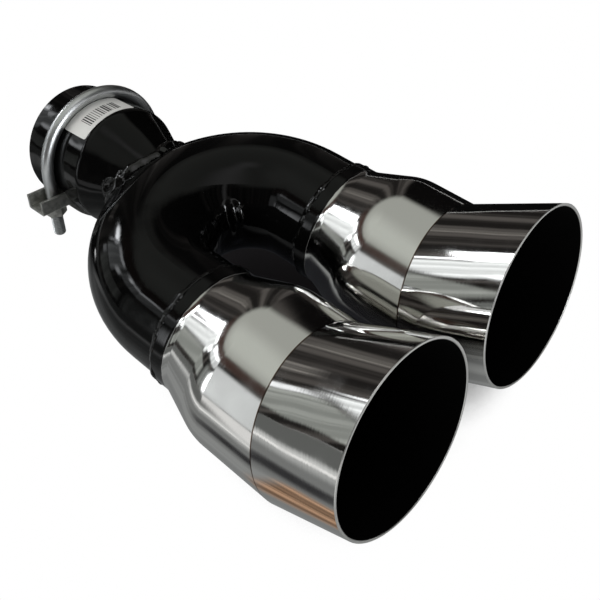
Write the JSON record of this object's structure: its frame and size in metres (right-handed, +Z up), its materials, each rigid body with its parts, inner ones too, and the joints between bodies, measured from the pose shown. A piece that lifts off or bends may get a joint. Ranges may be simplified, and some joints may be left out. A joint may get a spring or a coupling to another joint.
{
  "type": "exhaust tip",
  "caption": "Slip-on twin exhaust tip: black bent pipe with a clamped inlet sleeve and polished flared outlets that rise at a mitred seam and end in raked mouths.",
  "frame": {"origin": "centre of the inlet mouth, where the tailpipe enters", "axes": "+Y out of the inlet mouth along the tailpipe, outlets towards -Y, +Z up, +X to the right seen from the outlets"},
  "size_m": [0.2156, 0.3316, 0.1302],
  "materials": {
    "black_paint": "gloss black paint on mild steel pipe",
    "polished_steel": "mirror-polished stainless steel",
    "bright_zinc": "bright zinc plating on steel rod",
    "dull_zinc": "dull zinc plating on pressed steel",
    "label_paper": "off-white coated paper, stuck on"
  },
  "bodies": {
    "root": {"inlet_sleeve": "black_paint", "inlet_weld": "black_paint", "twin_bend": "black_paint", "left_weld": "black_paint", "right_weld": "black_paint", "left_flare": "polished_steel", "right_flare": "polished_steel", "left_outlet": "polished_steel", "right_outlet": "polished_steel", "clamp_u_bolt": "bright_zinc", "clamp_nuts": "dull_zinc", "clamp_saddle": "dull_zinc", "label": "label_paper"}
  },
  "joints": []
}
